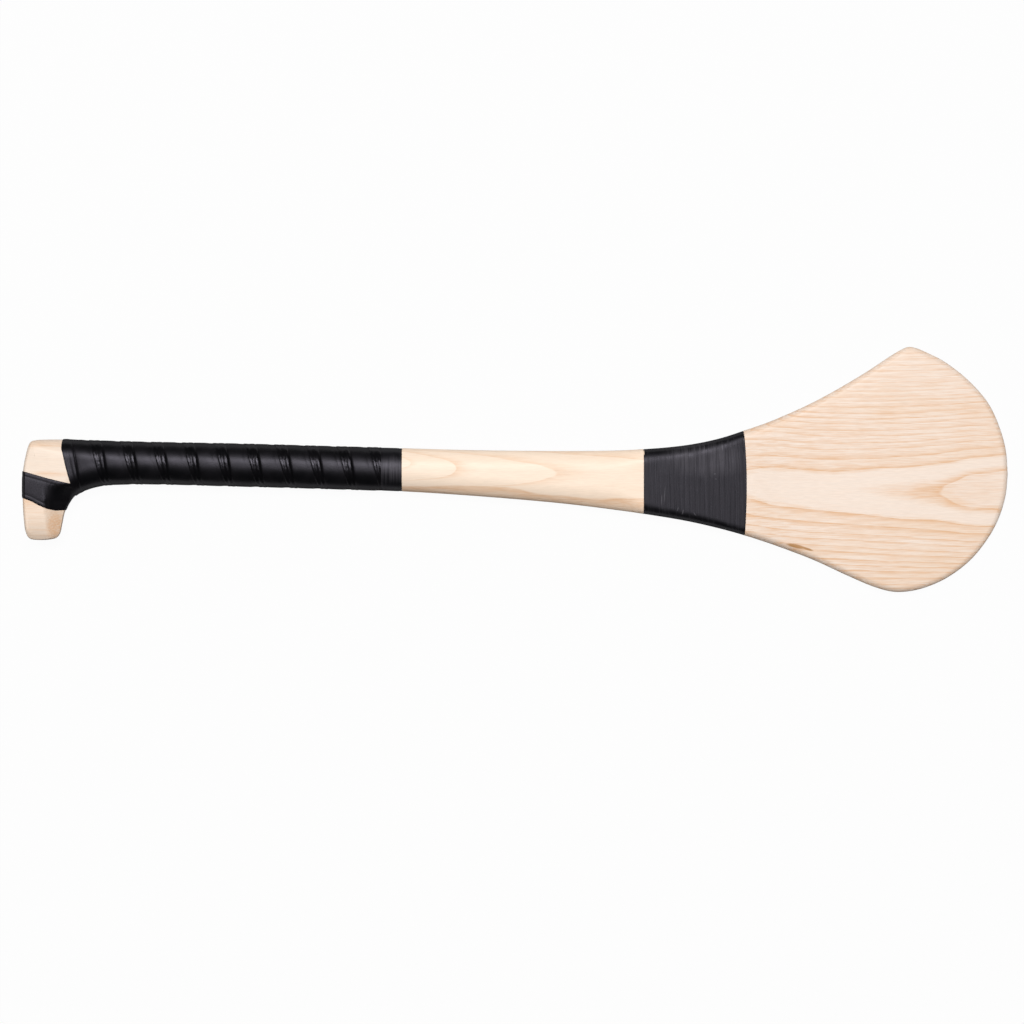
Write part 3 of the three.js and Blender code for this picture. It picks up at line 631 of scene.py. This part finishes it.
def makeVinyl():
    material, tree, shader = newMaterial("vinyl_tape_charcoal")
    place = stickPlace(tree)
    unrolled = addNode(tree, "UVMap", uv_map="tape")
    drawn, pulled = (addNode(tree, "Mapping", {"Vector": unrolled,
                                               "Scale": (1 / length, 1 / spacing, 1)})
                     for length, spacing in (vinyl["drawn"], vinyl["pulled"]))
    lines = addNode(tree, "TexNoise", {"Vector": drawn, "Scale": 1.0, "Detail": 2.0})
    ridges = addNode(tree, "TexNoise", {"Vector": pulled, "Scale": 1.0, "Detail": 1.0})
    uneven = addNode(tree, "Math", {0: ridges, 1: 1.6, 2: lines}, operation="MULTIPLY_ADD")
    patches = addNode(tree, "TexNoise", {"Vector": place, "Scale": 1 / vinyl["patches"], "Detail": 4.0})
    scuffs = addNode(tree, "Math", {0: lines, 1: patches}, operation="MULTIPLY")
    scuffed = addNode(tree, "MapRange", {"Value": scuffs, "From Min": 0.27, "From Max": 0.46})
    tone = addNode(tree, "Mix", {0: scuffed, 6: paint(vinyl["colour"]), 7: paint(vinyl["scuffed"])},
                   data_type="RGBA")
    # painted highlight: a paler streaky sheen on the binding's upper side and on the handle's end
    for along, over, length, width, strong in vinyl["rubbed"]:
        zone = ovalMask(tree, place, (along, over), (length, width), edge=(1.1, 0.4))
        sheenStreaks = addNode(tree, "MapRange", {"Value": uneven, "From Min": 1.1, "From Max": 1.55,
                                             "To Min": 0.1, "To Max": strong})
        worn = addNode(tree, "Math", {0: zone, 1: sheenStreaks}, operation="MULTIPLY")
        tone = addNode(tree, "Mix", {0: worn, 6: tone, 7: paint(vinyl["paintedSheen"])}, data_type="RGBA")
    for along, over, length, width, turned in vinyl["scratches"]:
        scratch = ovalMask(tree, place, (along, over), (length, width), turned)
        broken = addNode(tree, "Math", {0: scratch, 1: patches}, operation="MULTIPLY")
        tone = addNode(tree, "Mix", {0: broken, 6: tone, 7: paint(vinyl["mark"])}, data_type="RGBA")
    rough = addNode(tree, "MapRange", {"Value": scuffs, "From Min": 0.1, "From Max": 0.45,
                                       "To Min": vinyl["roughness"] - 0.11,
                                       "To Max": vinyl["roughness"] + 0.12})
    neck, handle, less = vinyl["fresher"]
    apart = addNode(tree, "SeparateXYZ", {0: place}).outputs
    fresher = addNode(tree, "MapRange", {"Value": apart["X"], "From Min": neck, "From Max": handle,
                                         "To Min": 0.0, "To Max": less})
    rubbed = addNode(tree, "Math", {0: rough, 1: fresher}, operation="SUBTRACT")
    bump = addNode(tree, "Bump", {"Height": uneven, "Distance": vinyl["ridgeDepth"], "Strength": 0.7})
    fillInputs(tree, shader, {"Base Color": tone, "Roughness": dullAtRim(tree, rubbed), "Normal": bump,
                              "IOR": vinyl["ior"], "Specular IOR Level": vinyl["specular"],
                              "Specular Tint": paint(vinyl["tint"])})
    return material


ashMaterial, cushionMaterial, vinylMaterial = makeAsh(), makeCushion(), makeVinyl()
print("materials: ash, grip tape and vinyl tape")

# The wood, one piece from heel to toe
wood = stickSkin(slice(None))
raiseSkin(wood, lambda place: -recessAt(place.x))
finishPiece("ash_body_planed", wood, ashMaterial, "ash_body")


def wrapSurface(start, end, step=0.5, around=192):
    # the dressed stick between two places as an even table: along in mm, round in shares of a turn
    along = np.arange(start, end + step, step)
    lines = np.stack([
        np.stack([np.interp(along, np.maximum.accumulate(rings[:, j, 0]), values[:, j, i])
                  for values in (rings, ringNormals) for i in range(3)], axis=-1)
        for j in range(rings.shape[1])], axis=1)
    closed = np.concatenate([lines, lines[:, :1]], axis=1)
    even = np.linspace(0, 1, around, endpoint=False)
    rows = []
    for ring in closed:
        lengths = np.linalg.norm(np.diff(ring[:, :3], axis=0), axis=1)
        shares = np.concatenate([[0], np.cumsum(lengths) / lengths.sum()])
        rows.append([np.interp(even, shares, ring[:, i]) for i in range(6)])
    table = np.array(rows)

    def place(x, turn, height):
        alongAt = np.clip((x - start) / step, 0, len(along) - 1.001)
        roundAt = (turn % 1) * around
        i, j = np.floor(alongAt).astype(int), np.floor(roundAt).astype(int)
        s, t = (alongAt - i)[..., None], (roundAt - j)[..., None]
        near = table[i, :, j % around] * (1 - t) + table[i, :, (j + 1) % around] * t
        far = table[i + 1, :, j % around] * (1 - t) + table[i + 1, :, (j + 1) % around] * t
        found = near * (1 - s) + far * s
        normal = found[..., 3:] / np.linalg.norm(found[..., 3:], axis=-1)[..., None]
        # at the heel, where the wood has not yet given way, the tape is drawn down thin
        drawn = np.interp(x, (recess["gripStart"], recess["gripStart"] + recess["ramp"]), (0.16, 1))
        return found[..., :3] + normal * (height * drawn - recessAt(x))[..., None]

    return place


def windTape(tape, wobble):
    # one unbroken strip wound along the stick and trimmed square at both ends of its run
    surface = wrapSurface(tape["start"], tape["end"])
    across, heights = np.array(tape["profile"]).T
    least = tape["leastWidth"]
    first = max(tape["firstTurn"], (least - tape["pitch"] + tape["lead"]) / tape["pitch"])
    last = (tape["end"] - least - tape["start"] + tape["lead"]) / tape["pitch"]
    turns = np.linspace(first, last, round((last - first) * tape["perTurn"]) + 1)[:, None]
    edge = tape["start"] - tape["lead"] + tape["pitch"] * turns
    x = np.clip(edge + across + wobble(turns, across), tape["start"], tape["end"])
    relief = tape["flattened"] + (1 - tape["flattened"]) * np.abs(np.sin(2 * math.pi * turns))
    height = tape["even"] + (heights - tape["even"]) * relief
    bm = bmesh.new()
    flat = np.stack([turns * tape["girth"] + 0 * x, across + 0 * x], axis=-1)
    moveGrid(bm, surface(x, turns + 0 * x, height), flat)
    bmesh.ops.remove_doubles(bm, verts=bm.verts, dist=0.02)
    thicken(bm, tape["thickness"])
    print(f"wound: {last - first:.1f} turns")
    return bm


# The grip: each turn's border lies over the turn before it. Across a turn, in mm from its left edge, the
# heights make the lapped border, the pressed line in it, its inner rim, a groove and the cushioned body.
grip = {
    "start": recess["gripStart"], "end": 313.6, "pitch": 27, "lead": 4.2, "firstTurn": -0.25,
    "leastWidth": 1.4, "perTurn": 72, "thickness": 0.3, "girth": 105,
    "profile": [(0, 1.4), (0.12, 1.58), (0.6, 1.67), (1.4, 1.74), (2.1, 1.68), (2.7, 1.47), (3.4, 1.36),
                (4.1, 1.44), (4.8, 1.68), (5.6, 1.86), (6.4, 1.9), (7.1, 1.8), (7.7, 1.5), (8.1, 1.12),
                (8.4, 1.02), (8.8, 1.2), (9.4, 1.48), (10.4, 1.6), (13, 1.66), (17, 1.7), (20, 1.7),
                (23.5, 1.67), (25.2, 1.62), (26.3, 1.52), (27.3, 1.3), (29.5, 0.95)],
    # the relief is pressed flatter over the handle's narrow edges, towards an even height
    "even": 1.64, "flattened": 0.35,
    # the first turn is pulled further down the throat in front: how far right, by turn
    "pull": [(-1, 0), (0.03, 0), (0.08, 0.9), (0.13, 1.7), (0.2, 1.8), (0.275, 2.1), (0.34, 2.5), (0.45, 2.5),
             (0.7, 0.6), (0.9, 0), (30, 0)],
}


def gripWobble(turn, d):
    # the lapped border is broader at the top of the handle than at the bottom, and no turn is quite even
    spread = 0.2 * np.cos(2 * math.pi * turn) * np.interp(d, (0, 8.7, 12), (0, 8.7, 0))
    return np.interp(turn, *zip(*grip["pull"])) + 0.25 * np.sin(5.1 * turn + 0.7) + spread


finishPiece("grip_tape_wound", windTape(grip, gripWobble), cushionMaterial, "grip_tape")

# Two turns of tape that hold the grip's end, the second a little back from the first
finish = {
    "start": 313.9, "end": recess["gripEnd"] + 0.05, "firstTurn": 0.72, "turns": 2.2, "perTurn": 96,
    "thickness": 0.25, "girth": 100, "width": 15.5, "stepBack": 2.7, "sunk": 0.22,
    # the second turn steps back behind, and climbs onto the first: from which turn, and over how much of one
    "stepsBack": (1.52, 0.2), "climbs": (1.6, 0.12),
    "profile": [(0, 1.2), (0.1, 1.55), (0.6, 1.66), (5, 1.68), (10, 1.68), (14.6, 1.66), (15.4, 1.6),
                (15.5, 1.3)],
}


def windFinish():
    surface = wrapSurface(finish["start"] - 2, finish["end"] + 1)
    across, heights = np.array(finish["profile"]).T
    first, last = finish["firstTurn"], finish["firstTurn"] + finish["turns"]
    turns = np.linspace(first, last, round(finish["turns"] * finish["perTurn"]) + 1)[:, None]
    settled, risen = (np.clip((turns - start) / over, 0, 1)
                      for start, over in (finish["stepsBack"], finish["climbs"]))
    x = finish["end"] - finish["width"] - finish["stepBack"] * settled + across
    height = heights - finish["sunk"] * (1 - risen)
    bm = bmesh.new()
    flat = np.stack([turns * finish["girth"] + 0 * x, across + 0 * x], axis=-1)
    moveGrid(bm, surface(x, turns + 0 * x, height), flat)
    thicken(bm, finish["thickness"])
    return bm


finishPiece("finishing_tape_wound", windFinish(), vinylMaterial, "finishing_tape")

# The neck's binding: narrow tape whose turns lap, pulled on by hand, so that no two lie quite alike
band = {
    "start": bandStart, "end": bandEnd, "pitch": 4.35, "lead": 4.35, "firstTurn": 0, "leastWidth": 0.35,
    "perTurn": 96, "thickness": 0.3, "girth": 150,
    "profile": [(0, 1.17), (0.1, 1.195), (0.5, 1.2), (2.2, 1.2), (4.1, 1.2), (4.6, 1.17), (5.4, 1.1)],
    "even": 1.2, "flattened": 0.4,
}


def bandWobble(turn, d):
    slow = 0.35 * np.sin(2 * math.pi * 0.37 * turn)
    return slow + 0.25 * np.sin(2 * math.pi * 1.13 * turn + 1.9 * np.sin(turn))


finishPiece("neck_band_wound", windTape(band, bandWobble), vinylMaterial, "neck_band")

# The strap: grip tape drawn over the heel from the throat, round the butt and back behind
strap = {
    "upper": [(-12, 2.2), (0.6, -1.4), (9.4, -3.9), (22.8, -7.8), (36.2, -11.1), (42.9, -12.5), (60, -15)],
    "lower": [(-12, -20.5), (1, -24.9), (9.4, -28), (16, -31.6), (22.8, -34.6), (29.5, -36.1), (37.2, -35.7),
              (60, -35.7)],
    "end": 52, "thickness": 0.3, "cutFrom": 66, "width": 23,   # cut from the stick's skin as far as here
    "pastBorder": 10,   # mm: it has no wrinkled border, so it takes the tape's finish from past it
    # heights above the wood, by distance from either edge
    "profile": [(0, 0.34), (0.3, 0.55), (1, 0.68), (2.6, 0.72), (3.2, 0.68), (3.7, 0.61), (4.2, 0.65),
                (5.2, 0.72), (7, 0.75)],
}


def drapeStrap():
    last = int(np.argmax(front[:, 0, 0] > strap["cutFrom"]))
    bm = stickSkin(slice(0, last))
    raiseSkin(bm, lambda place: -recessAt(place.x))
    lows = lambda x: np.interp(x, *zip(*strap["lower"]))
    spans = lambda x: np.interp(x, *zip(*strap["upper"])) - lows(x)
    # bent so that both edges of the strap are straight and this far apart, cut there, and bent back
    apart = 100
    for vert in bm.verts:
        vert.co.y = (vert.co.y - lows(vert.co.x)) / spans(vert.co.x) * apart
    cuts = [0] + [apart * d / strap["width"] for d, height in strap["profile"][1:]]
    for cut in cuts:
        for side in (1, -1):
            bmesh.ops.bisect_plane(bm, geom=bm.verts[:] + bm.edges[:] + bm.faces[:], dist=1e-5,
                                   plane_co=(0, cut if side > 0 else apart - cut, 0), plane_no=(0, side, 0),
                                   clear_inner=cut == 0)
    bmesh.ops.bisect_plane(bm, geom=bm.verts[:] + bm.edges[:] + bm.faces[:], dist=1e-5,
                           plane_co=(strap["end"], 0, 0), plane_no=(1, 0, 0), clear_outer=True)
    shares = {}
    for vert in bm.verts:
        shares[vert] = vert.co.y / apart
        vert.co.y = lows(vert.co.x) + shares[vert] * spans(vert.co.x)
    bm.normal_update()
    places, heights = zip(*strap["profile"])
    fromEdge = {vert: float(min(shares[vert], 1 - shares[vert]) * spans(vert.co.x)) for vert in bm.verts}
    layer = bm.loops.layers.uv.new("tape")
    for face in bm.faces:
        for loop in face.loops:
            loop[layer].uv = loop.vert.co.x, fromEdge[loop.vert] + strap["pastBorder"]
    moves = [vert.normal * float(np.interp(fromEdge[vert], places, heights)) for vert in bm.verts]
    for vert, move in zip(bm.verts, moves):
        vert.co += move
    thicken(bm, strap["thickness"])
    return bm


finishPiece("heel_strap_drawn", drapeStrap(), cushionMaterial, "heel_strap")

# Floor, light and world: a white table under one broad softbox, leaned a little to the far side
studio = {"floor": "#c4c4c4", "floorSize": 5, "floorWhite": 0.965, "world": 0.05,
          # each lamp's place, size and radiance; both are turned to the stick's middle
          "lamps": {"softbox": ((-0.25, 1.3, 4.8), (3.0, 1.4), 19.5),
                    "end_fill": ((-1.5, 0.1, 0.2), (0.5, 0.5), 1.0)}}


def makeFloor():
    material, tree, shader = newMaterial("white_table")
    fillInputs(tree, shader, {"Base Color": paint(studio["floor"]), "Roughness": 0.9,
                              "Specular IOR Level": 0.2})
    path = addNode(tree, "LightPath")
    seen = addNode(tree, "Math", {0: path.outputs["Is Camera Ray"], 1: path.outputs["Is Glossy Ray"]},
                   operation="MAXIMUM")
    seenThrough = addNode(tree, "Math", {0: seen, 1: path.outputs["Is Transmission Ray"]},
                          operation="MAXIMUM")
    share = addNode(tree, "Math", {0: seenThrough, 1: studio["floorWhite"]}, operation="MULTIPLY")
    white = addNode(tree, "Emission", {"Color": (1, 1, 1, 1), "Strength": 1.0})
    mix = addNode(tree, "MixShader", {0: share, 1: shader, 2: white})
    fillInputs(tree, tree.nodes["Material Output"], {"Surface": mix})
    bm = bmesh.new()
    bmesh.ops.create_grid(bm, x_segments=1, y_segments=1, size=studio["floorSize"])
    mesh = bpy.data.meshes.new("floor")
    bm.to_mesh(mesh)
    bm.free()
    mesh.materials.append(material)
    floor = bpy.data.objects.new("floor", mesh)
    bpy.context.scene.collection.objects.link(floor)


makeFloor()
for name, (place, size, radiance) in studio["lamps"].items():
    lampData = bpy.data.lights.new(name, "AREA")
    lampData.shape = "RECTANGLE"
    lampData.size, lampData.size_y = size
    lampData.energy = radiance * math.pi * size[0] * size[1]
    lamp = bpy.data.objects.new(name, lampData)
    lamp.location = place
    lamp.rotation_euler = lamp.location.to_track_quat("Z", "Y").to_euler()
    bpy.context.scene.collection.objects.link(lamp)
world = bpy.data.worlds.new("studio")
bpy.context.scene.world = world
world.use_nodes = True
path = addNode(world.node_tree, "LightPath")
level = addNode(world.node_tree, "MapRange", {"Value": path.outputs["Is Camera Ray"],
                                              "To Min": studio["world"], "To Max": 1.0})
fillInputs(world.node_tree, world.node_tree.nodes["Background"], {"Color": (1, 1, 1, 1), "Strength": level})
print("studio: floor, softbox and world")
